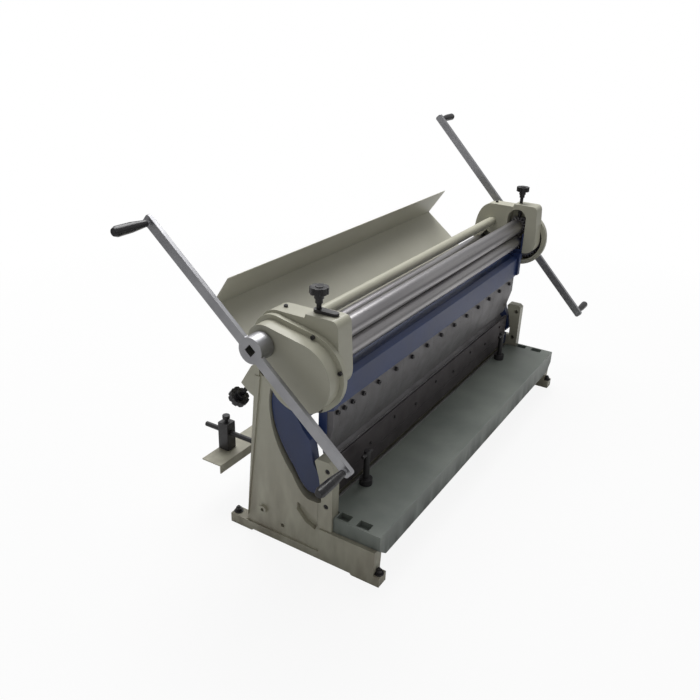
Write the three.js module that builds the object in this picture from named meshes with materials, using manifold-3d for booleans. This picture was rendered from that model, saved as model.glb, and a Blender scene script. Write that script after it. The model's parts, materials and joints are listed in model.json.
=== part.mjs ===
// Combination sheet metal machine: shear, press brake and slip rolls on one pair of end frames.
// Millimetres, +X along the machine, +Y to the rear, +Z up; the origin is on the floor, midway
// between the feet. Each end is modelled once, for +X, and mirrored for the other end.
import * as THREE from "three";
import { mergeVertices } from "three/addons/utils/BufferGeometryUtils.js";
import Module from "manifold-3d";

const wasm = await Module();
wasm.setup();

// ---- driving dimensions ----

const workWidth = 1016; // widest sheet
const endGap = 10; // from the sheet's edge to the roll housing
const fit = 0.3; // between pieces that only touch
const runFit = 0.08; // radial, between a shaft and its bore
const sides = 24; // facets of a round piece

// end frame
const frameThick = 30;
const footReach = 196;
const padHigh = 23;
const frontDeckHigh = 83;
const frameTopHigh = 425;
const columnBack = 118;

// roll housing
const housingThick = 48;
const housingHigh = 561;
const housingStep = 8;
const housingBack = 100;
const housingFront = -93;
const slotRadius = 28.5;
const slotTop = 554;
const slotDeep = 34; // from the housing's inner face

// rolls
const rollRadius = 21.5;
const rollY = -28;
const lowerRollZ = 457;
const rollGap = 2.2;
const rollEndPlay = 1;
const journalRadius = 10;
const neckRadius = 8;
const rearJournal = 7;
const rollTeeth = 15;
const rollGearWide = 8;
const rollGearPlay = 0.2; // centre distance over the pitch diameter

// drive
const gearModule = 3;
const pinionTeeth = 20;
const bullTeeth = 42;
const gearWide = 22;
const gearInset = 8; // from the housing's outer face to the gears
const crankY = 50;
const shaftRadius = 13;
const squareAcross = 17;
const eccentric = 7; // half the ram's stroke
const discRadius = 15;

// gear cover
const coverDeep = 44;
const coverWall = 3.5;
const coverBigRadius = 73;
const coverSmallRadius = 38;
const coverFlange = 10;

// cranks
const armWide = 22;
const armThick = 10;
const hubRadius = 27;
const hubLong = 38;
const hubRecess = 20; // from the hub's outer face in to the shaft's end
const leftCrank = { up: 322, down: 292, lean: 40.5 };
const rightCrank = { up: 381, down: 401, lean: 45.6 };
const gripRadius = 10.5;
const gripNeck = 7;
const gripLong = 79;
const gripStand = 6; // from the arm's face to the grip
const gripClosed = 6; // the solid outer end of the grip
const gripInset = 13;
const pinRadius = 4.5;

// ram
const plateThick = 16;
const plateGap = 2; // from a ram plate out to the frame
const cheekThick = 20;
const beamFront = -50;
const fingerSeat = -30;
const beamBack = -8;
const beamBottom = 285;
const beamStep = 352;
const fingerFront = -46;
const noseY = -25;
const noseZ = 231;
const narrowFingers = [25.4, 25.4, 38.1, 50.8];
const wideFingers = 11;
const fingerGap = 0.5;

// bed and shear
const bedFront = -25;
const bedThick = 30;
const bedHigh = 203;
const bedFootHigh = 104;
const dieHigh = 18;
const veeDepth = 9;
const shearY = -40;
const bladeThick = 6;
const bladeHigh = 32;
const bladeRise = 128;
const carrierTop = 220;

// table
const tableOver = 28.5; // past the housing's inner face
const tableFront = -189;
const tableHigh = 118.3;
const tableThick = 20;
const skirtLow = 60;
const slotOut = 12; // from the housing's inner face to a table slot's middle
const slotWide = 22;
const slotDepth = 14;
const slotPlaces = [[-157, -127], [-108, -80]];

// tray, gauge and knobs
const knobOut = 23; // from the housing's inner face to the knobs
const trayShort = 2; // from the housing's inner face back to the tray's end
const trayThick = 2;
const gaugeInset = 38; // from the sheet's edge in to a gauge rod
const gaugeBarOver = 22;
const gaugeRodRadius = 6;
const gaugeRodZ = 170;
const gaugeRodEnd = 338;
const gaugeBarY = 236;
const gaugeBarWide = 56;
const gaugeBarTop = 126;
const knobRadius = 18.5;
const rearKnobRadius = 22;
const screwRadius = 5;
const rearLean = 51; // degrees above level of the rear roll's adjusting line
const rearRollY = 84;
const rearRollZ = 436;
const rearTravel = 28;
const rearBlockHalf = 11;
const rearBlockTail = 34.5;
const rearBlockHead = 16;
const rearKnobReach = 127; // from the rear roll's axis down to its knob
const topKnobZ = 598;
const knobHigh = 22;
const clampX = 400;
const clampY = -67;
const clampBase = 15;
const clampBar = 20;
const postThick = 26;

// ---- derived places ----

const innerFace = workWidth / 2 + endGap;
const housingOuter = innerFace + housingThick;
const plateX = workWidth / 2;
const frameInner = plateX + plateThick + plateGap;
const frameOuter = frameInner + frameThick;
const coverOuter = housingOuter + coverDeep;
const upperRollZ = lowerRollZ + 2 * rollRadius + rollGap;
const centreDistance = (gearModule * (pinionTeeth + bullTeeth)) / 2;
const crankZ = lowerRollZ + Math.sqrt(centreDistance ** 2 - (crankY - rollY) ** 2);
const gearAngle = Math.atan2(crankZ - lowerRollZ, crankY - rollY);
const forkX = innerFace + 2;
const forkThick = 8;
const rollGearX = forkX + forkThick + 1.5;
const blockX = rollGearX + rollGearWide + 1.5;
const slotEnd = innerFace + slotDeep;
const rollHalf = innerFace - rollEndPlay;
const gearX = housingOuter + gearInset;
const hubX = coverOuter + 2;
const rollGearModule = (upperRollZ - lowerRollZ - rollGearPlay) / rollTeeth;
const tableHalf = innerFace + tableOver;
const slotX = innerFace + slotOut;
const knobX = innerFace + knobOut;
const trayHalf = innerFace - trayShort;
const gaugeX = workWidth / 2 - gaugeInset;
const gaugeBarHalf = innerFace + gaugeBarOver;

// ---- materials ----

const paint = (color, roughness = 0.5) =>
  new THREE.MeshStandardMaterial({ color, roughness, metalness: 0 });
const metal = (color, roughness = 0.35) =>
  new THREE.MeshStandardMaterial({ color, roughness, metalness: 1 });
const cream = () => paint(0xb9b5a2);
const blue = () => paint(0x2c3f78);
const greenGrey = () => paint(0x6d7872, 0.6);
const steel = () => metal(0xa9a7a4);
const dieSteel = () => metal(0x6f6a68, 0.5);
const black = () => paint(0x17171b, 0.45);

// ---- solids ----

function solid(geometry) {
  const bare = geometry.clone();
  bare.deleteAttribute("normal");
  bare.deleteAttribute("uv");
  const merged = mergeVertices(bare, 1e-4);
  return new wasm.Manifold(new wasm.Mesh({
    numProp: 3,
    vertProperties: new Float32Array(merged.attributes.position.array),
    triVerts: new Uint32Array(merged.index.array),
  }));
}

function geometryOf(body) {
  const mesh = body.getMesh();
  return new THREE.BufferGeometry()
    .setAttribute("position", new THREE.BufferAttribute(mesh.vertProperties, 3))
    .setIndex(new THREE.BufferAttribute(mesh.triVerts, 1));
}

const join = (...geometries) =>
  geometryOf(geometries.map(solid).reduce((all, next) => all.add(next)));

const cut = (geometry, ...tools) =>
  geometryOf(tools.map(solid).reduce((left, tool) => left.subtract(tool), solid(geometry)));

function named(name, geometry, material) {
  const mesh = new THREE.Mesh(geometry, material);
  mesh.name = name;
  return mesh;
}

const box = (x0, x1, y0, y1, z0, z1) =>
  new THREE.BoxGeometry(x1 - x0, y1 - y0, z1 - z0)
    .translate((x0 + x1) / 2, (y0 + y1) / 2, (z0 + z1) / 2);

// A Y-Z outline, drawn anticlockwise, run along X.
const alongX = new THREE.Matrix4().makeBasis(
  new THREE.Vector3(0, 1, 0), new THREE.Vector3(0, 0, 1), new THREE.Vector3(1, 0, 0));

function run(outline, x0, x1, curveSegments = 10) {
  const shape = outline instanceof THREE.Shape ? outline : polygon(outline);
  return new THREE.ExtrudeGeometry(shape, { depth: x1 - x0, bevelEnabled: false, curveSegments })
    .applyMatrix4(alongX)
    .translate(x0, 0, 0);
}

const polygon = (points) => new THREE.Shape(points.map(([y, z]) => new THREE.Vector2(y, z)));

const roundX = (radius, x0, x1, y = 0, z = 0, facets = sides) =>
  new THREE.CylinderGeometry(radius, radius, x1 - x0, facets)
    .rotateZ(-Math.PI / 2)
    .translate((x0 + x1) / 2, y, z);

const roundY = (radius, y0, y1, x = 0, z = 0, facets = sides) =>
  new THREE.CylinderGeometry(radius, radius, y1 - y0, facets).translate(x, (y0 + y1) / 2, z);

const roundZ = (radius, z0, z1, x = 0, y = 0, facets = sides) =>
  new THREE.CylinderGeometry(radius, radius, z1 - z0, facets)
    .rotateX(Math.PI / 2)
    .translate(x, y, (z0 + z1) / 2);

// The radius of a faceted bore whose flats clear a shaft.
const boreFor = (radius, clearance = runFit) => (radius + clearance) / Math.cos(Math.PI / sides);

// A spur gear in the Y-Z plane, with a tooth's middle at the angle given.
function gear(teeth, x0, x1, y, z, toothAt = 0, size = gearModule) {
  const pitch = (size * teeth) / 2;
  const step = (2 * Math.PI) / teeth;
  const root = pitch - 1.2 * size;
  const tip = pitch + 0.85 * size;
  const corners = [[-0.33, root], [-0.12, tip], [0.12, tip], [0.33, root]];
  const points = [];
  for (let tooth = 0; tooth < teeth; tooth += 1) {
    for (const [share, radius] of corners) {
      const angle = toothAt + (tooth + share) * step;
      points.push([y + radius * Math.cos(angle), z + radius * Math.sin(angle)]);
    }
  }
  return run(points, x0, x1);
}

// ---- the end frames, housings and covers ----

function frameOutline() {
  const shape = new THREE.Shape();
  shape.moveTo(-footReach, 0);
  shape.lineTo(-129, 0);
  shape.lineTo(-125, 4);
  shape.lineTo(132, 4);
  shape.lineTo(136, 0);
  shape.lineTo(footReach, 0);
  shape.lineTo(footReach, padHigh);
  shape.lineTo(153, padHigh);
  shape.quadraticCurveTo(149, 26, 148, 40);
  shape.lineTo(columnBack, 400);
  shape.lineTo(columnBack, frameTopHigh);
  shape.lineTo(30, frameTopHigh);
  shape.quadraticCurveTo(84, 415, 84, 345);
  shape.quadraticCurveTo(84, 262, 25, 190);
  shape.quadraticCurveTo(2, 146, -17, 145);
  shape.lineTo(-40, 145);
  shape.lineTo(-40, frontDeckHigh);
  shape.lineTo(-183, frontDeckHigh);
  shape.lineTo(-181, padHigh);
  shape.lineTo(-footReach, padHigh);
  shape.closePath();
  return shape;
}

// The two ends of a stretch along X, on the +X end or mirrored to the other.
const span = (end, x0, x1) => (end > 0 ? [x0, x1] : [-x1, -x0]);

// Geometry drawn with +Z along the rear roll's adjusting line, moved to the rear roll's axis.
const leaned = (geometry) =>
  geometry.rotateX(Math.PI / 2 - rearLean * THREE.MathUtils.DEG2RAD)
    .translate(0, rearRollY, rearRollZ);

const rearSlot = (x0, x1) =>
  leaned(box(x0, x1, -rearBlockHalf - fit, rearBlockHalf + fit, -rearBlockTail - 2,
    rearBlockHead + rearTravel + 2));

function endFrame(side) {
  const face = frameOuter - 4; // the web stands back from the rims
  const web = run(frameOutline(), frameInner, face);
  const rearRim = run([[133, 150], [146, 40], [columnBack - 1, 400], [104, 400]], face - 1,
    frameOuter);
  const base = run([[-footReach, 0], [-129, 0], [-125, 4], [132, 4], [136, 0], [footReach, 0],
    [footReach, padHigh], [-footReach, padHigh]], face - 1, frameOuter);
  const frontPanel = run([[-181, padHigh - 1], [-46, padHigh - 1], [-46, frontDeckHigh],
    [-183, frontDeckHigh]], face - 1, frameOuter);
  const boss = roundX(10, face - 1, frameOuter + 3, 103, 72, 20);
  const lug = run([[106, 424], [columnBack, 425], [127, 417], [155, 371], [134, 354], [108, 342]],
    frameInner, frameOuter - 2);
  const pocket = run([[12, 128], [-20, 112], [-42, 96], [-34, 74], [-8, 84], [14, 108]],
    face - 10, frameOuter + 1);
  const screwHole = leaned(roundZ(screwRadius + 1.5, -130, 0, knobX, 0, 16));
  const geometry = cut(join(web, rearRim, base, frontPanel, boss, lug),
    roundX(4.5, face - 8, frameOuter + 4, 103, 72, 12),
    roundX(5, face - 8, frameOuter + 4, 52, 47, 12),
    pocket, screwHole, rearSlot(frameInner - 1, slotEnd));
  return named(`${side}_end_frame`, geometry, cream());
}

function housingOutline() {
  const shape = new THREE.Shape();
  const low = frameTopHigh + fit;
  const step = housingHigh + housingStep;
  shape.moveTo(housingBack + 4, low);
  shape.lineTo(housingBack + 4, 470);
  shape.quadraticCurveTo(housingBack, housingHigh, 50, housingHigh);
  shape.lineTo(-12, housingHigh);
  shape.lineTo(-15, step);
  shape.lineTo(housingFront + 22, step);
  shape.quadraticCurveTo(housingFront + 6, step, housingFront + 6, step - 20);
  shape.lineTo(housingFront, 462);
  shape.quadraticCurveTo(housingFront, low, housingFront + 34, low);
  shape.closePath();
  return shape;
}

// The roll slot in the housing's inner face, with a round top.
function rollSlot(x0, x1, low) {
  const middle = slotTop - slotRadius;
  const shape = new THREE.Shape();
  shape.moveTo(rollY - slotRadius, low);
  shape.lineTo(rollY + slotRadius, low);
  shape.lineTo(rollY + slotRadius, middle);
  shape.absarc(rollY, middle, slotRadius, 0, Math.PI, false);
  shape.closePath();
  return run(shape, x0, x1, 12);
}

function rollHousing(side) {
  const body = run(housingOutline(), innerFace, housingOuter);
  const geometry = cut(body,
    rollSlot(innerFace - 1, rollGearX - 0.5, frameTopHigh - 1),
    rollSlot(rollGearX - 0.6, slotEnd, lowerRollZ - slotRadius),
    roundX(boreFor(journalRadius), slotEnd - 1, housingOuter + 1, rollY, lowerRollZ),
    roundX(boreFor(shaftRadius), innerFace - 1, housingOuter + 1, crankY, crankZ),
    roundZ(boreFor(screwRadius, 0.6), slotTop - 8, 580, knobX, rollY),
    rearSlot(innerFace - 1, slotEnd));
  return named(`${side}_roll_housing`, geometry, cream());
}

// The drop-shaped outline around both gears, grown by the distance given.
function dropOutline(grow) {
  const big = coverBigRadius + grow;
  const small = coverSmallRadius + grow;
  const lean = Math.acos((big - small) / centreDistance);
  const shape = new THREE.Shape();
  shape.absarc(rollY, lowerRollZ, big, gearAngle + lean, gearAngle - lean + 2 * Math.PI, false);
  shape.absarc(crankY, crankZ, small, gearAngle - lean, gearAngle + lean, false);
  shape.closePath();
  return shape;
}

function gearCover(side) {
  const seat = housingOuter + fit;
  const drop = (grow, x0, x1) => run(dropOutline(grow), x0, x1, 14);
  const shell = join(drop(coverFlange, seat, seat + 12), drop(0, seat, coverOuter));
  const geometry = cut(shell,
    drop(-coverWall, seat - 1, coverOuter - coverWall - 2),
    roundX(boreFor(shaftRadius, 1), coverOuter - 12, coverOuter + 1, crankY, crankZ));
  return named(`${side}_gear_cover`, geometry, cream());
}

// The cast post that stands on the frame, in front of the ram's cheek.
function guidePost(side) {
  const low = frontDeckHigh + fit;
  const outline = [[-75, low], [-40 - fit, low], [-40 - fit, 145 + fit], [-48, 150], [-48, 172],
    [-41, 211], [-31, 246], [-36, 253], [-66, 253], [-75, 246]];
  const x1 = frameInner + postThick;
  const hole = (y, z) => roundX(6, frameInner - 1, x1 + 1, y, z, 16);
  return named(`${side}_guide_post`,
    cut(run(outline, frameInner, x1), hole(-62, 231), hole(-60, 143.5)), cream());
}

// ---- bed, table and shear ----

function bedBeam() {
  const back = bedFront + bedThick;
  const half = plateX - 2;
  const reach = frameInner - fit;
  const upper = box(-half, half, bedFront, back, bedFootHigh - 1, bedHigh);
  const foot = box(-reach, reach, bedFront, back, 34, bedFootHigh);
  const toe = box(-reach, reach, back - 1, back + 45, 34, 46);
  const rodHoles = [-gaugeX, gaugeX].map((x) =>
    roundY(boreFor(gaugeRodRadius, fit), back - 18, back + 1, x, gaugeRodZ));
  return named("bed_beam", cut(join(upper, foot, toe), ...rodHoles), cream());
}

function veeDie() {
  const low = bedHigh + fit;
  const top = low + dieHigh;
  const half = 10.5;
  const outline = [[noseY - half, low], [noseY + half, low], [noseY + half, top],
    [noseY + veeDepth, top], [noseY, top - veeDepth], [noseY - veeDepth, top],
    [noseY - half, top]];
  return named("v_die", run(outline, 2 - plateX, plateX - 2), dieSteel());
}

function workTable() {
  const rear = shearY - fit - bladeThick - fit;
  const under = tableHigh - tableThick;
  const deck = frontDeckHigh + fit;
  const notchY = -76; // leaves room for the posts
  const top = box(-tableHalf, tableHalf, tableFront, rear, under, tableHigh);
  const skirt = box(-tableHalf, tableHalf, tableFront, tableFront + 14, skirtLow, under + 1);
  const rearRib = box(-innerFace, innerFace, rear - 14, rear, deck, under + 1);
  const flanges = [-1, 1].map((end) =>
    box(...span(end, tableHalf - 12, tableHalf), tableFront, notchY, deck, under + 1));
  const tools = [];
  for (const end of [-1, 1]) {
    tools.push(box(...span(end, frameInner - 6, tableHalf + 1), notchY, 0, 60, tableHigh + 1));
    tools.push(box(...span(end, frameInner - fit, tableHalf + 1), -183.3, notchY, 50, deck));
    for (const [y0, y1] of slotPlaces) {
      tools.push(box(...span(end, slotX - slotWide / 2, slotX + slotWide / 2), y0, y1,
        tableHigh - slotDepth, tableHigh + 1));
    }
    const corner = polygon([[end * (tableHalf - 30), skirtLow - 1],
      [end * (tableHalf + 1), skirtLow - 1], [end * (tableHalf + 1), skirtLow + 24]]);
    tools.push(new THREE.ExtrudeGeometry(corner, { depth: 20, bevelEnabled: false })
      .rotateX(Math.PI / 2)
      .translate(0, tableFront + 17, 0));
  }
  return named("work_table", cut(join(top, skirt, rearRib, ...flanges), ...tools), greenGrey());
}

function lowerBlade() {
  const front = shearY - fit - bladeThick;
  const half = workWidth / 2;
  return named("lower_shear_blade",
    box(-half, half, front, front + bladeThick, tableHigh - bladeThick * 3, tableHigh), steel());
}

// ---- ram ----

// The thick outer part of a ram plate, which fills the frame's throat less the stroke.
function ramCheek() {
  const shape = new THREE.Shape();
  shape.moveTo(-10, 338);
  shape.lineTo(18, 328);
  shape.lineTo(2, 303);
  shape.lineTo(-14, 285);
  shape.lineTo(-24, 232);
  shape.lineTo(-38, 211);
  shape.lineTo(-45, 172);
  shape.lineTo(-36, 161.5);
  shape.lineTo(-17, 161.5);
  shape.quadraticCurveTo(2, 163, 24, 207);
  shape.quadraticCurveTo(81, 278, 81.5, 345);
  shape.quadraticCurveTo(80, 402, 36, 408);
  shape.lineTo(-10, 410);
  shape.closePath();
  return run(shape, plateX + plateThick - 1, frameInner + cheekThick);
}

function ramPlate(side) {
  const top = frameTopHigh - 1;
  const shape = new THREE.Shape();
  shape.moveTo(beamFront - 6, top);
  shape.lineTo(beamFront - 6, beamStep + 5);
  shape.lineTo(-10, 338);
  shape.lineTo(22, 332);
  shape.quadraticCurveTo(36, 326, 28, 305);
  shape.quadraticCurveTo(12, 285, 8, 240);
  shape.quadraticCurveTo(4, 200, -24, 162);
  shape.lineTo(shearY, 156);
  shape.lineTo(shearY, 122);
  shape.lineTo(-6, 122);
  shape.quadraticCurveTo(90, 200, 90, 330);
  shape.lineTo(86, 400);
  shape.lineTo(54, 404);
  shape.lineTo(38, top);
  shape.closePath();
  const body = run(shape, plateX, plateX + plateThick);
  const sweep = discRadius + eccentric;
  const seat = lowerRollZ - sweep - 1;
  const inner = sweep + 0.8;
  const outer = slotRadius - 0.7;
  const low = frameTopHigh - 20;
  const prong = lowerRollZ + 27;
  const fork = run([[rollY - outer, low], [rollY + outer, low], [rollY + outer, prong],
    [rollY + inner, prong], [rollY + inner, seat], [rollY - inner, seat], [rollY - inner, prong],
    [rollY - outer, prong]], forkX, forkX + forkThick);
  return named(`${side}_ram_plate`, join(body, ramCheek(), fork), blue());
}

function ramBeam() {
  const half = plateX - fit;
  const outline = [[beamFront, beamStep], [fingerSeat, beamStep], [fingerSeat, beamBottom],
    [beamBack, beamBottom], [beamBack, 418], [beamFront + 10, 418], [beamFront, 408]];
  return named("ram_beam", run(outline, -half, half), blue());
}

function finger(name, x, width) {
  const seat = fingerSeat - fit;
  const low = beamBottom - fit;
  const outline = [[fingerFront, beamStep - fit], [fingerFront, 306], [noseY - 2, noseZ],
    [noseY + 1, noseZ], [noseY + 5, noseZ + 12], [seat + 4, low], [seat, low],
    [seat, beamStep - fit]];
  const half = (width - fingerGap) / 2;
  return named(name, run(outline, x - half, x + half), dieSteel());
}

function fingerRow() {
  const row = new THREE.Group();
  const narrow = narrowFingers.reduce((sum, width) => sum + width, 0);
  const wide = (workWidth - narrow) / wideFingers;
  let edge = -workWidth / 2;
  [...narrowFingers, ...Array(wideFingers).fill(wide)].forEach((width, index) => {
    const number = String(index + 1).padStart(2, "0");
    row.add(finger(`finger_die_${number}`, edge + width / 2, width));
    edge += width;
  });
  return row;
}

function bladeCarrier() {
  const half = plateX - fit;
  const face = shearY + bladeThick;
  const top = bladeRise + bladeHigh + fit;
  const lip = noseY - 11.2; // clear of the die's front face
  const outline = [[shearY, carrierTop], [shearY, top], [face, top], [face, 122],
    [bedFront - 2.3, 122], [bedFront - 2.3, 190], [lip, 198], [lip, carrierTop]];
  return named("blade_carrier", run(outline, -half, half), dieSteel());
}

function upperBlade() {
  const half = plateX - fit;
  return named("upper_shear_blade",
    box(-half, half, shearY, shearY + bladeThick - fit, bladeRise, bladeRise + bladeHigh),
    dieSteel());
}

// ---- rolls and drive ----

function lowerRoll() {
  const parts = [roundX(rollRadius, -rollHalf, rollHalf, rollY, lowerRollZ),
    gear(rollTeeth, rollGearX, rollGearX + rollGearWide, rollY, lowerRollZ, Math.PI / 2,
      rollGearModule)];
  for (const end of [-1, 1]) {
    parts.push(
      roundX(neckRadius, ...span(end, rollHalf - 1, rollGearX + 1), rollY, lowerRollZ),
      roundX(discRadius, ...span(end, forkX + 0.5, forkX + forkThick - 0.5), rollY,
        lowerRollZ + eccentric),
      roundX(journalRadius, ...span(end, rollGearX, gearX + gearWide), rollY, lowerRollZ));
  }
  return named("lower_roll", join(...parts), steel());
}

function upperRoll() {
  const toothAt = -Math.PI / 2 + Math.PI / rollTeeth;
  const parts = [roundX(rollRadius, -rollHalf, rollHalf, rollY, upperRollZ),
    gear(rollTeeth, rollGearX, rollGearX + rollGearWide, rollY, upperRollZ, toothAt,
      rollGearModule)];
  for (const end of [-1, 1]) {
    parts.push(roundX(journalRadius, ...span(end, rollHalf - 1, slotEnd - 1.5), rollY, upperRollZ));
  }
  return named("upper_roll", join(...parts), steel());
}

function rearRoll() {
  const parts = [roundX(rollRadius, -rollHalf, rollHalf, rearRollY, rearRollZ)];
  for (const end of [-1, 1]) {
    parts.push(roundX(rearJournal, ...span(end, rollHalf - 1, slotEnd - 4), rearRollY, rearRollZ));
  }
  return named("rear_roll", join(...parts), steel());
}

function rearRollCarriage() {
  const reach = innerFace + 3;
  const parts = [leaned(box(-reach, reach, -rearBlockHalf, rearBlockHalf, -rearBlockTail,
    -rollRadius - 3))];
  for (const end of [-1, 1]) {
    parts.push(leaned(box(...span(end, innerFace + 2, slotEnd - 3), -rearBlockHalf, rearBlockHalf,
      -rearBlockTail, rearBlockHead)));
  }
  const bores = [-1, 1].map((end) =>
    roundX(boreFor(rearJournal), ...span(end, innerFace, slotEnd), rearRollY, rearRollZ));
  return named("rear_roll_carriage", cut(join(...parts), ...bores), dieSteel());
}

function bearingBlock(side) {
  const half = slotRadius - fit;
  const low = upperRollZ - 18;
  const outline = [[rollY - half, low], [rollY + half, low], [rollY + half, upperRollZ + 6],
    [rollY + 16, upperRollZ + 25], [rollY - 16, upperRollZ + 25], [rollY - half, upperRollZ + 6]];
  const body = run(outline, blockX, slotEnd - 1);
  return named(`${side}_bearing_block`,
    cut(body, roundX(boreFor(journalRadius), blockX - 1, slotEnd, rollY, upperRollZ)), dieSteel());
}

function bullGear(side) {
  const x1 = gearX + gearWide;
  const blank = gear(bullTeeth, gearX, x1, rollY, lowerRollZ, gearAngle);
  return named(`${side}_bull_gear`,
    cut(blank, roundX(boreFor(journalRadius, fit), gearX - 1, x1 + 1, rollY, lowerRollZ)),
    dieSteel());
}

const turnedToArm = (geometry, lean) =>
  geometry.rotateX(lean * THREE.MathUtils.DEG2RAD).translate(0, crankY, crankZ);

function crankShaft() {
  const toothAt = gearAngle + Math.PI + Math.PI / pinionTeeth;
  const half = squareAcross / 2;
  const squareEnd = hubX + hubLong - hubRecess;
  const parts = [roundX(shaftRadius, -gearX - 2, gearX + 2, crankY, crankZ)];
  for (const [end, { lean }] of [[-1, leftCrank], [1, rightCrank]]) {
    parts.push(
      gear(pinionTeeth, ...span(end, gearX, gearX + gearWide), crankY, crankZ, toothAt),
      turnedToArm(box(...span(end, gearX + 1, squareEnd), -half, half, -half, half), lean));
  }
  return named("crank_shaft", join(...parts), cream());
}

// The double-ended handle, with the fixed pins that its grips turn on.
function crank(side, { up, down, lean }) {
  const x1 = hubX + hubLong;
  const half = squareAcross / 2 + fit;
  const edge = armWide / 2;
  const arm = run([[-down, 4 - edge], [4 - down, -edge], [up - 4, -edge], [up, 4 - edge],
    [up, edge - 4], [up - 4, edge], [4 - down, edge], [-down, edge - 4]], x1 - armThick, x1);
  const pinEnd = x1 + gripStand + gripLong - gripClosed - 2;
  const pins = [up - gripInset, gripInset - down].map((reach) =>
    roundX(pinRadius, x1 - 1, pinEnd, reach, 0, 16));
  const body = cut(join(roundX(hubRadius, hubX, x1), arm, ...pins),
    box(hubX - 1, x1 + 1, -half, half, -half, half));
  return named(`${side}_crank`, turnedToArm(body, lean), steel());
}

function grip(side, place, reach, lean) {
  const bore = boreFor(pinRadius, 0.2);
  const profile = [[bore, 0], [gripNeck, 0], [gripNeck, 4], [gripRadius - 0.5, gripLong * 0.45],
    [gripRadius, gripLong - 8], [gripRadius - 3, gripLong], [bore, gripLong], [bore, 0]];
  const tube = new THREE.LatheGeometry(
    profile.map(([radius, along]) => new THREE.Vector2(radius, along)), sides)
    .rotateZ(-Math.PI / 2);
  const body = join(tube, roundX(bore + 0.5, gripLong - gripClosed, gripLong))
    .translate(hubX + hubLong + gripStand, reach, 0);
  return named(`${side}_${place}_grip`, turnedToArm(body, lean), black());
}

function crankSet(side, sizes) {
  const group = new THREE.Group();
  group.add(crank(side, sizes),
    grip(side, "upper", sizes.up - gripInset, sizes.lean),
    grip(side, "lower", gripInset - sizes.down, sizes.lean));
  return group;
}

// ---- knobs, latch and hold-downs ----

// A lobed hand knob along Z, from its low face up.
function starKnob(radius, z0, x, y, lobes = 6) {
  const shape = new THREE.Shape();
  const points = [];
  const count = lobes * 6;
  for (let index = 0; index < count; index += 1) {
    const angle = (index / count) * 2 * Math.PI;
    const reach = radius * (0.93 + 0.07 * Math.cos(lobes * angle));
    points.push(new THREE.Vector2(reach * Math.cos(angle), reach * Math.sin(angle)));
  }
  shape.setFromPoints(points);
  return new THREE.ExtrudeGeometry(shape, { depth: knobHigh, bevelEnabled: false })
    .translate(x, y, z0);
}

function rollKnob(side) {
  const tip = upperRollZ + 25 + fit;
  return named(`${side}_roll_knob`, join(
    roundZ(screwRadius, tip, topKnobZ + 1, knobX, rollY),
    roundZ(11, topKnobZ - 8, topKnobZ + 1, knobX, rollY),
    starKnob(knobRadius, topKnobZ, knobX, rollY)), black());
}

function rearKnob(side) {
  const low = -rearKnobReach - knobHigh;
  return named(`${side}_rear_knob`, leaned(join(
    roundZ(screwRadius, -rearKnobReach - 1, -rearBlockTail - fit, knobX, 0),
    starKnob(rearKnobRadius, low, knobX, 0))), black());
}

function latchBar() {
  const z0 = housingHigh + housingStep + fit;
  const shape = new THREE.Shape();
  const long = 36;
  shape.absarc(0, 0, 10, Math.PI / 2, (3 * Math.PI) / 2, false);
  shape.lineTo(long, -8);
  shape.absarc(long, 0, 8, -Math.PI / 2, Math.PI / 2, false);
  shape.closePath();
  const plate = new THREE.ExtrudeGeometry(shape, { depth: 6, bevelEnabled: false })
    .rotateZ(-Math.PI / 2)
    .translate(knobX, rollY, z0);
  return named("latch_bar",
    cut(plate, roundZ(boreFor(screwRadius, 0.6), z0 - 1, z0 + 8, knobX, rollY)), black());
}

function holdDownScrew(side) {
  const seat = tableHigh + fit;
  return named(`${side}_hold_down_screw`, join(
    roundZ(clampBase, seat, seat + 15, clampX, clampY),
    roundZ(7, seat + 14, 205, clampX, clampY),
    roundX(4, clampX - clampBar, clampX + clampBar, clampY, 196, 16)), black());
}

// ---- tray and back gauge ----

// A folded sheet's outline: the fold line, and the same line moved by the thickness.
function folded(points, thick) {
  const line = points.map(([y, z]) => new THREE.Vector2(y, z));
  const last = line.length - 1;
  const normalAfter = (index) => {
    const along = line[index + 1].clone().sub(line[index]).normalize();
    return new THREE.Vector2(-along.y, along.x);
  };
  const moved = line.map((point, index) => {
    const before = normalAfter(Math.max(index - 1, 0));
    const after = normalAfter(Math.min(index, last - 1));
    const bisector = before.clone().add(after).normalize();
    return point.clone().addScaledVector(bisector, thick / bisector.dot(before));
  });
  return new THREE.Shape([...line, ...moved.reverse()]);
}

function sheetTray() {
  const sheet = run(folded([[212, 576], [262, 502], [175, 434], [112, 385]], trayThick),
    -trayHalf, trayHalf);
  const tabs = [-1, 1].map((end) =>
    box(...span(end, trayHalf - 4, frameInner - fit), 104, 117, 380, 400));
  return named("sheet_tray", join(sheet, ...tabs), cream());
}

function gaugeRod(side) {
  return named(`${side}_gauge_rod`,
    roundY(gaugeRodRadius, bedFront + bedThick - 17, gaugeRodEnd, gaugeX, gaugeRodZ), black());
}

function gaugeClamp(side) {
  const block = box(gaugeX - 14, gaugeX + 14, 261, 290, gaugeBarTop + fit, 197);
  const stem = roundZ(4, 190, 207, gaugeX, 275.5, 16);
  const head = roundZ(9, 205, 214, gaugeX, 275.5, 20);
  return named(`${side}_gauge_clamp`,
    cut(join(block, stem, head), roundY(boreFor(gaugeRodRadius), 260, 291, gaugeX, gaugeRodZ)),
    black());
}

function backGaugeBar() {
  const front = gaugeBarY;
  const top = gaugeBarTop;
  return named("back_gauge_bar", run([[front, top], [front, top - 22], [front + 3, top - 22],
    [front + 3, top - 3], [front + gaugeBarWide, top - 3], [front + gaugeBarWide, top]],
  -gaugeBarHalf, gaugeBarHalf), cream());
}

// ---- assembly ----

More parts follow.
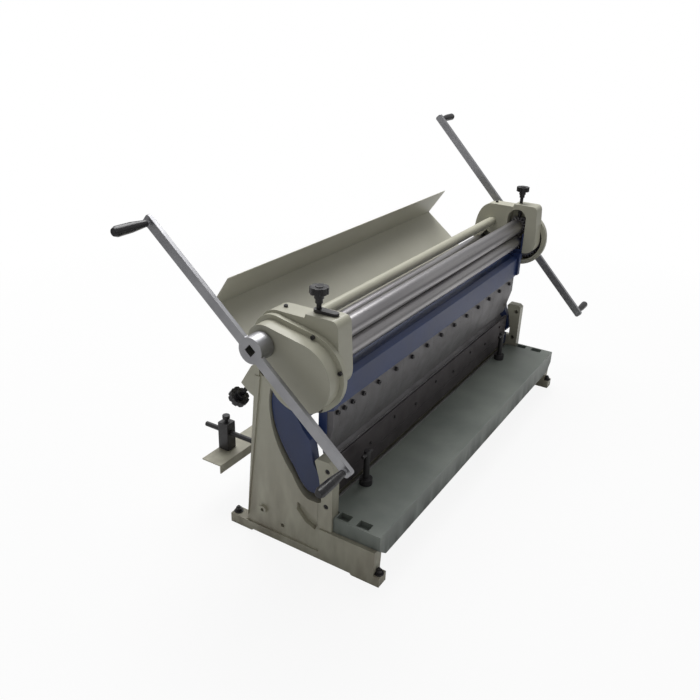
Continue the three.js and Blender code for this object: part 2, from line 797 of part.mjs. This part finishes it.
function machineEnd(side, crankSizes) {
  const end = new THREE.Group();
  end.add(endFrame(side), rollHousing(side), gearCover(side), guidePost(side), ramPlate(side),
    bearingBlock(side), bullGear(side), crankSet(side, crankSizes), rollKnob(side),
    rearKnob(side), gaugeRod(side), gaugeClamp(side), holdDownScrew(side));
  return end;
}

const machine = new THREE.Group();
const rightEnd = machineEnd("right", rightCrank);
const leftEnd = machineEnd("left", leftCrank);
leftEnd.add(latchBar());
leftEnd.scale.x = -1;
machine.add(leftEnd, rightEnd, bedBeam(), veeDie(), workTable(), lowerBlade(), ramBeam(),
  bladeCarrier(), upperBlade(), fingerRow(), lowerRoll(), upperRoll(), rearRoll(),
  rearRollCarriage(), crankShaft(), sheetTray(), backGaugeBar());

export default machine;
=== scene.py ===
import json
import math

import bpy
from mathutils import Matrix, Vector


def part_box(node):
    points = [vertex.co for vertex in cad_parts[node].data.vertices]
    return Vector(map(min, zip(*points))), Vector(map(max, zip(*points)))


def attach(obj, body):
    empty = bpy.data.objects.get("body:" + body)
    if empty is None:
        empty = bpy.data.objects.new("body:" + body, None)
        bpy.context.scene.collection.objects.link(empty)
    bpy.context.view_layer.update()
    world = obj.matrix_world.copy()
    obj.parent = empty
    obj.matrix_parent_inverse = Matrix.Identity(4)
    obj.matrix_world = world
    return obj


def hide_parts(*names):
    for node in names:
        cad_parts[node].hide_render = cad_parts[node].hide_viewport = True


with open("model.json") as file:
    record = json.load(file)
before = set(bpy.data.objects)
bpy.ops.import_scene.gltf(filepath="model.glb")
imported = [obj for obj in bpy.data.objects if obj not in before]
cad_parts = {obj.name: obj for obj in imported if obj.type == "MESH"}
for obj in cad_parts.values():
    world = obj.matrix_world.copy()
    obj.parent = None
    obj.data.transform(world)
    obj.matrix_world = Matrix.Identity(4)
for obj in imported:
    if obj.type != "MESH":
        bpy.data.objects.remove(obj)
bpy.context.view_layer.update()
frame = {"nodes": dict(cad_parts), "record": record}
nodes = frame["nodes"]
record = frame["record"]
bodyOf = {node: body for body, members in record["behaviour"]["bodies"].items() for node in members}
slotOf = {row["node"]: row["material_slot"] for row in record["subparts"]}
sides = ("left", "right")
ends = tuple(zip(sides, (-1, 1)))  # each side with its way along X
print("frame loaded:", len(nodes), "nodes")


view = {
    "azimuth": -58.9,
    "elevation": 24.8,
    "roll": 2.01,
    "place": (-1.6037, -0.7397, 1.0827),
    "lens": 37.95,
}
studio = {
    "floorColour": (0.93, 0.93, 0.93, 1),
    "floorWhite": 0.9,  # how white the camera sees the floor by the machine
    "floorFar": 2.2,  # metres out to where it is fully white
    "worldLight": 0.15,
    "worldShine": 0.5,
    "lamps": {
        "overhead": {"place": (0.7, 0.8, 2.7), "aim": (0, 0, 0.3), "size": 2.2, "power": 78},
        "front": {"place": (-1.3, -2.4, 1.9), "aim": (0, 0, 0.3), "size": 1.8, "power": 5},
        "side": {"place": (-2.6, 0.6, 1.4), "aim": (0, 0, 0.3), "size": 1.6, "power": 2.5},
    },
}


def addCamera():
    around = math.radians(view["azimuth"])
    above = math.radians(view["elevation"])
    roll = math.radians(view["roll"])
    back = Vector((math.sin(around) * math.cos(above), -math.cos(around) * math.cos(above),
                   math.sin(above)))
    right = (-back).cross(Vector((0, 0, 1))).normalized()
    up = right.cross(-back)
    across = right * math.cos(roll) + up * math.sin(roll)
    upright = up * math.cos(roll) - right * math.sin(roll)
    turn = Matrix((across, upright, back)).transposed().to_4x4()
    data = bpy.data.cameras.new("viewCamera")
    data.lens = view["lens"]
    data.clip_end = 50
    camera = bpy.data.objects.new("viewCamera", data)
    camera.matrix_world = Matrix.Translation(view["place"]) @ turn
    bpy.context.scene.collection.objects.link(camera)
    bpy.context.scene.camera = camera


def addLamps():
    for name, lamp in studio["lamps"].items():
        data = bpy.data.lights.new(name, "AREA")
        data.size = lamp["size"]
        data.energy = lamp["power"]
        holder = bpy.data.objects.new(name, data)
        aim = Vector(lamp["aim"]) - Vector(lamp["place"])
        turn = aim.to_track_quat("-Z", "Y").to_matrix().to_4x4()
        holder.matrix_world = Matrix.Translation(lamp["place"]) @ turn
        bpy.context.scene.collection.objects.link(holder)


class Wire:
    # a shader value: operators on it add Math nodes, and node() adds any other node
    def __init__(self, tree, socket=None):
        self.tree = tree
        self.socket = socket

    def node(self, kind, settings=None, inputs=None, output=0):
        made = self.tree.nodes.new(kind)
        for name, value in (settings or {}).items():
            if name == "stops":
                ramp = made.color_ramp.elements
                while len(ramp) < len(value):
                    ramp.new(0.5)
                for stop, (place, colour) in zip(ramp, value):
                    stop.position = place
                    stop.color = colour
            else:
                setattr(made, name, value)
        for name, value in (inputs or {}).items():
            if isinstance(value, Wire):
                self.tree.links.new(value.socket, made.inputs[name])
            else:
                made.inputs[name].default_value = value
        return Wire(self.tree, made.outputs[output])

    def maths(self, operation, first, second, clamp=False):
        settings = {"operation": operation, "use_clamp": clamp}
        return self.node("ShaderNodeMath", settings, {0: first, 1: second})

    def __add__(self, other):
        return self.maths("ADD", self, other)

    def __radd__(self, other):
        return self.maths("ADD", other, self)

    def __sub__(self, other):
        return self.maths("SUBTRACT", self, other)

    def __rsub__(self, other):
        return self.maths("SUBTRACT", other, self)

    def __mul__(self, other):
        return self.maths("MULTIPLY", self, other)

    def __rmul__(self, other):
        return self.maths("MULTIPLY", other, self)

    def clamped(self):
        return self.maths("ADD", self, 0.0, clamp=True)

    def over(self, low, high):
        # 0 below low and 1 above high
        return self.maths("MULTIPLY", self - low, 1 / (high - low), clamp=True)

    def noise(self, scale, detail=3.0, stretch=(1, 1, 1), rough=0.5):
        spot = self.node("ShaderNodeTexCoord", output="Object")
        placed = self.node("ShaderNodeMapping", inputs={"Vector": spot, "Scale": stretch})
        values = {"Vector": placed, "Scale": scale, "Detail": detail, "Roughness": rough}
        return self.node("ShaderNodeTexNoise", inputs=values)

    def place(self, axis):
        spot = self.node("ShaderNodeTexCoord", output="Object")
        return self.node("ShaderNodeSeparateXYZ", inputs={0: spot}, output=axis)

    def blend(self, factor, first, second, how="MIX"):
        settings = {"data_type": "RGBA", "blend_type": how}
        return self.node("ShaderNodeMix", settings, {0: factor, 6: first, 7: second}, output=2)

    def edges(self, radius):
        # 1 on outer edges: where the rounded normal leaves the true one
        rounded = self.node("ShaderNodeBevel", {"samples": 4}, {"Radius": radius})
        true = self.node("ShaderNodeNewGeometry", output="Normal")
        settings = {"operation": "DOT_PRODUCT"}
        match = self.node("ShaderNodeVectorMath", settings, {0: rounded, 1: true}, output="Value")
        return 1 - match

    def corners(self, reach):
        # 1 deep in corners, 0 in the open: an occlusion mask, used to paint shade into corners
        settings = {"samples": 6, "only_local": False}
        return 1 - self.node("ShaderNodeAmbientOcclusion", settings, {"Distance": reach},
                             output="AO")

    def bump(self, height, strength, distance):
        return self.node("ShaderNodeBump", inputs={"Height": height, "Strength": strength,
                                                   "Distance": distance})


def startMaterial(name):
    material = bpy.data.materials.new(name)
    material.use_nodes = True
    shader = material.node_tree.nodes["Principled BSDF"]
    return material, Wire(material.node_tree), shader


def join(wire, shader, links, **fixed):
    for name, value in links.items():
        wire.tree.links.new(value.socket, shader.inputs[name])
    for name, value in fixed.items():
        shader.inputs[name.replace("_", " ")].default_value = value


def colour(*rgb):
    return (*rgb, 1.0)


def castPaint(name, look):
    # sprayed enamel on filled castings: soft ripples, painted shade in the corners and darker
    # towards the bottom, rubbed edges
    material, wire, shader = startMaterial(name)
    mottle = wire.noise(7.0, 4.0)
    ripple = wire.noise(55.0, 2.0)
    peel = wire.noise(650.0, 2.0)
    smear = wire.noise(30.0, 5.0, (1.0, 1.0, 0.35))
    paint = wire.blend(mottle.over(0.3, 0.7), colour(*look["shade"]), colour(*look["base"]))
    # darker towards the bottom, by height alone; on the table this is painted shade on the front
    # face
    low = (1 - wire.place(2).over(look["darkFullBelow"], look["darkNoneAbove"])) * look["darkShare"]
    # painted shade: darker in corners from the occlusion mask, added to the darkening down low and
    # broken up by smear noise
    shadeAndLowDark = (wire.corners(0.02).over(0.4, 1.0) * 0.4 + low) * smear.over(0.3, 0.62)
    darkened = wire.blend(shadeAndLowDark.clamped(), paint, colour(*look["darkTone"]))
    rubbed = (wire.edges(0.002) * 5.0 * wire.noise(90.0, 4.0).over(0.42, 0.62)).over(0.25, 0.9)
    finish = wire.blend(rubbed * look["wear"], darkened, colour(*look["bare"]))
    rough = mottle * 0.12 + look["rough"] + shadeAndLowDark * 0.15
    height = ripple * 0.8 + peel * 0.1
    join(wire, shader, {"Base Color": finish, "Roughness": rough,
                        "Normal": wire.bump(height, 0.28, 0.0008)},
         Specular_IOR_Level=0.5)
    return material


def turnedSteel(name, look):
    # ground round bar: rings from the wheel, oil smears along it
    material, wire, shader = startMaterial(name)
    rings = wire.noise(1.0, 2.0, (1500.0, 12.0, 12.0))
    bands = wire.noise(1.0, 2.0, (60.0, 2.0, 2.0))
    smears = wire.noise(1.0, 4.0, (2.2, 70.0, 70.0))
    spots = wire.noise(120.0, 4.0).over(0.62, 0.76)
    metal = wire.blend(smears.over(0.35, 0.68), colour(*look["base"]), colour(*look["smear"]))
    stained = wire.blend(spots * 0.35, metal, colour(*look["stainAndShade"]))
    rough = rings * 0.1 + smears * 0.16 + bands * 0.06 + look["rough"]
    join(wire, shader, {"Base Color": stained, "Roughness": rough,
                        "Normal": wire.bump(rings, 0.12, 0.0002)},
         Metallic=1.0)
    return material


def flatSteel(name, look):
    # bar or plate ground along its length, with small nicks, dark patches and painted shade in the
    # corners
    material, wire, shader = startMaterial(name)
    grain = wire.noise(1.0, 3.0, look["grain"])
    patches = wire.noise(22.0, 5.0)
    nicks = wire.noise(340.0, 2.0).over(0.68, 0.78)
    metal = wire.blend(patches.over(0.32, 0.68), colour(*look["base"]), colour(*look["smear"]))
    edge = (wire.edges(0.0015) * 4.0).over(0.15, 0.8)
    bright = wire.blend(edge * 0.5, metal, colour(*look["edge"]))
    # painted shade: the stain-and-shade tone laid into corners by the occlusion mask
    cornerShaded = wire.blend(wire.corners(0.02).over(0.3, 0.9) * 0.6, bright, colour(*look["stainAndShade"]))
    rough = grain * 0.14 + patches * 0.12 + look["rough"]
    join(wire, shader, {"Base Color": cornerShaded, "Roughness": rough,
                        "Normal": wire.bump(grain - nicks * 0.6, 0.16, 0.0003)},
         Metallic=look["metallic"])
    return material


def glossBlack(name, look):
    # moulded or blackened parts: near black, faint dust, soft wear
    material, wire, shader = startMaterial(name)
    dust = wire.noise(60.0, 5.0).over(0.45, 0.8)
    fine = wire.noise(900.0, 2.0)
    skin = wire.blend(dust * look["dust"], colour(*look["base"]), colour(*look["dustTone"]))
    worn = wire.blend((wire.edges(0.001) * 4.0).over(0.2, 0.9) * look["wear"], skin,
                      colour(*look["edge"]))
    rough = dust * 0.2 + fine * 0.06 + look["rough"]
    join(wire, shader, {"Base Color": worn, "Roughness": rough,
                        "Normal": wire.bump(fine, 0.08, 0.0003)},
         Coat_Roughness=0.12)
    return material


finishes = {
    "cream": castPaint("creamEnamel", {
        "base": (0.52, 0.51, 0.41), "shade": (0.46, 0.45, 0.36), "darkTone": (0.16, 0.12, 0.085),
        "bare": (0.30, 0.28, 0.25), "rough": 0.3, "wear": 0.5,
        "darkFullBelow": 0.02, "darkNoneAbove": 0.34, "darkShare": 0.5}),
    "traySheet": castPaint("creamSheetPaint", {
        "base": (0.60, 0.59, 0.50), "shade": (0.55, 0.54, 0.45), "darkTone": (0.25, 0.23, 0.18),
        "bare": (0.45, 0.44, 0.40), "rough": 0.36, "wear": 0.4,
        "darkFullBelow": 0.0, "darkNoneAbove": 0.1, "darkShare": 0.0}),
    "blue": castPaint("blueEnamel", {
        "base": (0.022, 0.045, 0.150), "shade": (0.015, 0.030, 0.100), "darkTone": (0.03, 0.03, 0.04),
        "bare": (0.12, 0.12, 0.14), "rough": 0.3, "wear": 0.6,
        "darkFullBelow": 0.1, "darkNoneAbove": 0.35, "darkShare": 0.35}),
    "green": castPaint("greyGreenEnamel", {
        "base": (0.265, 0.290, 0.262), "shade": (0.165, 0.188, 0.170),
        "darkTone": (0.045, 0.05, 0.045),
        "bare": (0.30, 0.31, 0.30), "rough": 0.34, "wear": 0.6,
        # the band below the table's top paints shade on its front face
        "darkFullBelow": 0.05, "darkNoneAbove": 0.118, "darkShare": 1.0}),
    "roll": turnedSteel("groundRollSteel", {
        "base": (0.40, 0.39, 0.39), "smear": (0.27, 0.26, 0.27), "stainAndShade": (0.13, 0.11, 0.10),
        "rough": 0.16}),
    "bar": flatSteel("drawnBarSteel", {
        "base": (0.40, 0.40, 0.415), "smear": (0.32, 0.32, 0.335), "edge": (0.66, 0.66, 0.67),
        "stainAndShade": (0.16, 0.16, 0.165), "rough": 0.26, "metallic": 1.0,
        "grain": (400.0, 60.0, 60.0)}),
    "die": flatSteel("oiledDieSteel", {
        "base": (0.205, 0.20, 0.205), "smear": (0.155, 0.148, 0.152), "edge": (0.42, 0.41, 0.41),
        "stainAndShade": (0.045, 0.038, 0.036), "rough": 0.36, "metallic": 0.75,
        "grain": (25.0, 300.0, 900.0)}),
    "carrier": flatSteel("blackenedPlate", {
        "base": (0.085, 0.075, 0.078), "smear": (0.06, 0.052, 0.055), "edge": (0.25, 0.24, 0.24),
        "stainAndShade": (0.02, 0.017, 0.016), "rough": 0.4, "metallic": 0.6,
        "grain": (30.0, 300.0, 600.0)}),
    "blade": flatSteel("groundBladeSteel", {
        "base": (0.46, 0.455, 0.45), "smear": (0.34, 0.335, 0.33), "edge": (0.8, 0.8, 0.8),
        "stainAndShade": (0.13, 0.11, 0.1), "rough": 0.28, "metallic": 1.0,
        "grain": (30.0, 500.0, 900.0)}),
    "knob": glossBlack("mouldedKnob", {
        "base": (0.012, 0.011, 0.013), "dust": 0.12, "dustTone": (0.09, 0.085, 0.08),
        "wear": 0.25, "edge": (0.05, 0.05, 0.05), "rough": 0.22}),
    "screw": glossBlack("blackenedScrew", {
        "base": (0.022, 0.021, 0.023), "dust": 0.2, "dustTone": (0.07, 0.06, 0.05),
        "wear": 0.5, "edge": (0.16, 0.15, 0.14), "rough": 0.34}),
}
finishOfNode = {
    "sheet_tray": "traySheet", "work_table": "green", "ram_beam": "blue",
    "blade_carrier": "carrier", "v_die": "die", "rear_roll_carriage": "die",
    "lower_roll": "roll", "upper_roll": "roll", "rear_roll": "roll",
    "lower_shear_blade": "blade", "upper_shear_blade": "carrier",
}
for side in sides:
    finishOfNode[f"{side}_ram_plate"] = "blue"
finishOfSlot = {
    "cream_paint": "cream", "blue_paint": "blue", "grey_green_paint": "green",
    "bright_steel": "bar", "dark_steel": "die", "black_steel": "screw", "black_plastic": "knob",
}
print("finishes made:", len(finishes))


def finishFor(node):
    return finishes[finishOfNode.get(node, finishOfSlot[slotOf[node]])]


def dress(piece, material):
    piece.data.materials.clear()
    piece.data.materials.append(material)


def selectOnly(piece):
    bpy.ops.object.select_all(action="DESELECT")
    piece.select_set(True)
    bpy.context.view_layer.objects.active = piece


def applyModifier(piece, kind, settings):
    modifier = piece.modifiers.new("shape", kind)
    for name, value in settings.items():
        setattr(modifier, name, value)
    selectOnly(piece)
    bpy.ops.object.modifier_apply(modifier=modifier.name)


def smoothed(piece, angle=35):
    selectOnly(piece)
    bpy.ops.object.shade_smooth_by_angle(angle=math.radians(angle))
    applyModifier(piece, "WEIGHTED_NORMAL", {"keep_sharp": True})


def rounded(piece, width, segments=3, angle=30):
    applyModifier(piece, "BEVEL", {"width": width, "segments": segments, "limit_method": "ANGLE",
                                   "angle_limit": math.radians(angle)})


def settle(piece):
    # the object's place goes into its mesh
    selectOnly(piece)
    bpy.ops.object.transform_apply(location=True, rotation=True, scale=True)


def cutFrom(piece, tools):
    for tool in tools:
        applyModifier(piece, "BOOLEAN", {"operation": "DIFFERENCE", "object": tool})
        bpy.data.objects.remove(tool)


def addCylinder(name, radius, low, high, place=(0, 0), vertices=32):
    bpy.ops.object.select_all(action="DESELECT")
    bpy.ops.mesh.primitive_cylinder_add(vertices=vertices, radius=radius, depth=high - low,
                                        location=(place[0], place[1], (low + high) / 2))
    piece = bpy.context.object
    piece.name = name
    settle(piece)
    return piece


def fuse(name, pieces):
    bpy.ops.object.select_all(action="DESELECT")
    for piece in pieces:
        piece.select_set(True)
    bpy.context.view_layer.objects.active = pieces[0]
    bpy.ops.object.join()
    pieces[0].name = name
    return pieces[0]


def copyTo(master, name, matrix):
    piece = bpy.data.objects.new(name, master.data.copy())
    piece.data.transform(matrix)
    bpy.context.scene.collection.objects.link(piece)
    return piece


def facing(place, direction):
    # from a piece that stands on the origin along +Z to that place and direction
    turn = Vector(direction).to_track_quat("Z", "Y").to_matrix().to_4x4()
    return Matrix.Translation(place) @ turn


def ready(piece, body, material):
    dress(piece, material)
    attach(piece, body)


edgeWidths = {  # metres of rounding on each casting, plate or bar
    "end_frame": 0.0030, "roll_housing": 0.0040, "gear_cover": 0.0030, "guide_post": 0.0030,
    "ram_plate": 0.0020, "ram_beam": 0.0020, "bed_beam": 0.0020, "work_table": 0.0022,
    "sheet_tray": 0.0007, "crank": 0.0010, "crank_shaft": 0.0006, "grip": 0.0025,
    "lower_roll": 0.0009, "upper_roll": 0.0009, "rear_roll": 0.0009, "rear_roll_carriage": 0.001,
    "finger_die": 0.0008, "blade_carrier": 0.0010, "v_die": 0.0005, "shear_blade": 0.0004,
    "back_gauge_bar": 0.0007, "gauge_clamp": 0.0012, "gauge_rod": 0.0010, "latch_bar": 0.0020,
    "hold_down_screw": 0.0012,
}
keptPlain = ("bull_gear", "bearing_block")
modelledAnew = ("roll_knob", "rear_knob")


def edgeWidth(node):
    fits = [key for key in edgeWidths if key in node]
    return edgeWidths[max(fits, key=len)]


def softenedCopy(node):
    piece = bpy.data.objects.new(f"{node}_body", nodes[node].data.copy())
    bpy.context.scene.collection.objects.link(piece)
    selectOnly(piece)
    bpy.ops.object.mode_set(mode="EDIT")
    bpy.ops.mesh.select_all(action="SELECT")
    bpy.ops.mesh.remove_doubles(threshold=0.00001)
    bpy.ops.mesh.dissolve_limited(angle_limit=math.radians(0.6))
    bpy.ops.object.mode_set(mode="OBJECT")
    rounded(piece, edgeWidth(node))
    smoothed(piece)
    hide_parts(node)
    ready(piece, bodyOf[node], finishFor(node))


for node in sorted(nodes):
    if any(key in node for key in keptPlain):
        dress(nodes[node], finishFor(node))
    elif not any(key in node for key in modelledAnew):
        softenedCopy(node)
print("castings, plates and bars rounded")


knob = {"flutes": 8, "fluteShare": 0.17, "headHigh": 0.013, "neckHigh": 0.009,
        "stem": 0.005, "rollRadius": 0.0185, "rearRadius": 0.022}
# the rear roll's axis, how its screw leans and how far down the knob sits
rearScrew = {"y": 0.084, "z": 0.436, "lean": 51, "reach": 0.127, "long": 0.0915}


def fluted(name, radius):
    # stands on the origin: neck, fluted head with a domed top, small cap screw
    head = addCylinder(name, radius, knob["neckHigh"], knob["neckHigh"] + knob["headHigh"],
                       vertices=64)
    cutters = []
    for index in range(knob["flutes"]):
        turn = 2 * math.pi * index / knob["flutes"]
        place = (radius * 1.06 * math.cos(turn), radius * 1.06 * math.sin(turn))
        cutters.append(addCylinder("flute", radius * knob["fluteShare"], 0, 0.05, place, 20))
    cutFrom(head, cutters)
    rounded(head, 0.0028, 3, 40)
    neck = addCylinder("neck", radius * 0.52, -0.001, knob["neckHigh"] + 0.002)
    rounded(neck, 0.001, 2)
    top = knob["neckHigh"] + knob["headHigh"]
    boss = addCylinder("boss", radius * 0.42, top - 0.002, top + 0.0018)
    rounded(boss, 0.001, 2)
    return fuse(name, [head, neck, boss])


def threadedStem(name, radius, low, high, pitch=0.0016):
    # a plain core with a ridge at each turn
    stem = addCylinder(name, radius * 0.9, low, high, vertices=24)
    turns = int((high - low) / pitch) - 1
    ridges = []
    for index in range(turns):
        middle = low + (index + 1) * pitch
        ridge = addCylinder("ridge", radius, middle - pitch * 0.22, middle + pitch * 0.22,
                            vertices=24)
        ridges.append(ridge)
    return fuse(name, [stem, *ridges])


def addRollKnob(node):
    low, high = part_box(node)
    middle = ((low.x + high.x) / 2, (low.y + high.y) / 2)
    foot = high.z - knob["headHigh"] - knob["neckHigh"] - 0.0015
    head = fluted(node + "_head", knob["rollRadius"])
    head.data.transform(Matrix.Translation((*middle, foot)))
    collar = addCylinder(node + "_collar", knob["stem"] * 1.5, foot - 0.0105, foot + 0.0015, middle)
    rounded(collar, 0.0015, 2)
    stem = threadedStem(node + "_stem", knob["stem"], low.z, foot)
    stem.data.transform(Matrix.Translation((*middle, 0)))
    return [head, stem, collar]


def addRearKnob(node):
    # the stem points up its leaning axis to the rear roll's block; the head faces down it
    low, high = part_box(node)
    lean = math.radians(rearScrew["lean"])
    axis = Vector((0, -math.cos(lean), math.sin(lean)))
    centre = Vector(((low.x + high.x) / 2, rearScrew["y"], rearScrew["z"]))
    seat = centre - axis * rearScrew["reach"]
    head = fluted(node + "_head", knob["rearRadius"])
    head.data.transform(facing(seat, -axis))
    stem = threadedStem(node + "_stem", knob["stem"], -0.001, rearScrew["long"])
    stem.data.transform(facing(seat, axis))
    return [head, stem]


for side in sides:
    for kind, make in (("roll_knob", addRollKnob), ("rear_knob", addRearKnob)):
        node = f"{side}_{kind}"
        piece = fuse(node + "_body", make(node))
        smoothed(piece)
        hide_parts(node)
        ready(piece, bodyOf[node], finishes["knob"])
print("knobs made")


screws = {  # head radius, head height and socket radius of each, in metres
    "finger": {"radius": 0.0052, "high": 0.006, "socket": 0.0026},
    "carrier": {"radius": 0.0040, "high": 0.0025, "socket": 0.0020},
    "cover": {"radius": 0.0042, "high": 0.0045, "socket": 0.0021},
    "post": {"radius": 0.0057, "high": 0.0045, "socket": 0.0028},
    "foot": {"across": 0.013, "high": 0.010, "stud": 0.004},
    "line": 0.541,  # out from the middle to the knobs, foot bolts and housing screws
    "padTop": 0.023,
    "frontInset": 0.0085,  # from the front feet's edge to their bolts
    "rearInset": 0.0105,
    "fingerDrop": 0.0137,  # from a finger's top to its screw
    "carrierCount": 9,
    "carrierRows": (0.78, 0.62),  # shares of the carrier's height
    "flangeThick": 0.012,
    "housingSpot": (0.048, 0.561),
    "postSunk": 0.006,
    "drum": {"y": -0.028, "z": 0.457, "reach": 0.0778, "angles": (100, 165, 245, 325)},
    "postHoles": ((-0.062, 0.231), (-0.060, 0.1435)),
}


def socketScrew(name, size):
    screw = addCylinder(name, size["radius"], -0.001, size["high"], vertices=28)
    socket = addCylinder("socket", size["socket"], size["high"] * 0.45, size["high"] + 0.002,
                         vertices=6)
    cutFrom(screw, [socket])
    rounded(screw, 0.0005, 2, 40)
    smoothed(screw)
    return screw


def hexBolt(name, across, high, stud):
    # washer, six-sided head with a turned top, and the stud's end
    head = addCylinder(name, across * 0.577, 0.002, high, vertices=6)
    rounded(head, 0.0012, 2)
    washer = addCylinder("washer", across * 0.82, 0.0, 0.0022, vertices=32)
    rounded(washer, 0.0004, 1)
    end = addCylinder("end", across * 0.3, high - 0.002, high + stud, vertices=24)
    rounded(end, 0.0012, 2)
    bolt = fuse(name, [head, washer, end])
    smoothed(bolt)
    return bolt


def placeAll(master, spots):
    # spots: name, body, slot, finish, place, direction
    for name, body, slot, finish, place, direction in spots:
        piece = copyTo(master, name, facing(place, direction))
        ready(piece, body, finishes[finish])
    bpy.data.objects.remove(master)


def fingerScrewSpots():
    spots = []
    for node in sorted(nodes):
        if node.startswith("finger_die"):
            low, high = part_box(node)
            place = ((low.x + high.x) / 2, low.y, high.z - screws["fingerDrop"])
            spots.append((f"{node}_screw", "ram", "dark_steel", "screw", place, (0, -1, 0)))
    return spots


def carrierScrewSpots():
    low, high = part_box("blade_carrier")
    count = screws["carrierCount"]
    spots = []
    for index in range(count):
        x = low.x + (high.x - low.x) * (index + 0.5) / count
        z = low.z + (high.z - low.z) * screws["carrierRows"][index % 2]
        spots.append((f"carrier_screw_{index + 1:02d}", "ram", "dark_steel", "screw",
                      (x, low.y, z), (0, -1, 0)))
    return spots


def footBoltSpots():
    spots = []
    for side, way in ends:
        low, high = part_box(f"{side}_end_frame")
        x = way * screws["line"]
        for name, y in (("front", low.y + screws["frontInset"]),
                        ("rear", high.y - screws["rearInset"])):
            spots.append((f"{side}_{name}_foot_bolt", "frame", "black_steel", "screw",
                          (x, y, screws["padTop"]), (0, 0, 1)))
    return spots


def coverScrewSpots():
    drum = screws["drum"]
    spots = []
    for side, way in ends:
        low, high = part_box(f"{side}_gear_cover")
        flange = (low.x if way > 0 else high.x) + way * screws["flangeThick"]
        for index, angle in enumerate(drum["angles"]):
            turn = math.radians(angle)
            place = (flange, drum["y"] + drum["reach"] * math.cos(turn),
                     drum["z"] + drum["reach"] * math.sin(turn))
            spots.append((f"{side}_cover_screw_{index + 1}", "frame", "dark_steel", "screw",
                          place, (way, 0, 0)))
        spots.append((f"{side}_housing_screw", "frame", "dark_steel", "screw",
                      (way * screws["line"], *screws["housingSpot"]), (0, 0, 1)))
    return spots


def postScrewSpots():
    # sunk in the two holes of each post
    spots = []
    for side, way in ends:
        low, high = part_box(f"{side}_guide_post")
        face = (high.x if way > 0 else low.x) - way * screws["postSunk"]
        for index, (y, z) in enumerate(screws["postHoles"]):
            spots.append((f"{side}_post_screw_{index + 1}", "frame", "dark_steel", "screw",
                          (face, y, z), (way, 0, 0)))
    return spots


placeAll(socketScrew("fingerScrew", screws["finger"]), fingerScrewSpots())
placeAll(socketScrew("carrierScrew", screws["carrier"]), carrierScrewSpots())
placeAll(socketScrew("coverScrew", screws["cover"]), coverScrewSpots())
placeAll(socketScrew("postScrew", screws["post"]), postScrewSpots())
placeAll(hexBolt("footBolt", **screws["foot"]), footBoltSpots())
print("fasteners placed")


def addFloor():
    bpy.ops.object.select_all(action="DESELECT")
    bpy.ops.mesh.primitive_plane_add(size=200, location=(0, 0, -0.0005))
    floor = bpy.context.object
    floor.name = "floor"
    material, wire, shader = startMaterial("floorPaper")
    seen = wire.node("ShaderNodeLightPath", output="Is Camera Ray")
    shaded = wire.node("ShaderNodeBsdfDiffuse", inputs={"Color": studio["floorColour"]})
    white = wire.node("ShaderNodeEmission", inputs={"Color": colour(1, 1, 1), "Strength": 1.0})
    across = wire.place(0)
    along = wire.place(1)
    out = wire.maths("SQRT", across * across + along * along, 0.0)
    near = studio["floorWhite"]
    share = out.over(0.9, studio["floorFar"]) * (1 - near) + near
    mixed = wire.node("ShaderNodeMixShader", inputs={0: seen * share, 1: shaded, 2: white})
    wire.tree.links.new(mixed.socket, wire.tree.nodes["Material Output"].inputs["Surface"])
    dress(floor, material)


def addWorld():
    world = bpy.data.worlds.new("studio")
    bpy.context.scene.world = world
    world.use_nodes = True
    wire = Wire(world.node_tree)
    camera = wire.node("ShaderNodeLightPath", output="Is Camera Ray")
    glossy = wire.node("ShaderNodeLightPath", output="Is Glossy Ray")
    light = studio["worldLight"]
    strength = light + camera * (1 - light) + glossy * (studio["worldShine"] - light)
    sky = world.node_tree.nodes["Background"]
    wire.tree.links.new(strength.socket, sky.inputs["Strength"])
    sky.inputs["Color"].default_value = colour(1, 1, 1)


addCamera()
addLamps()
addFloor()
addWorld()
bpy.context.scene.view_settings.view_transform = "Standard"
print("stage set")
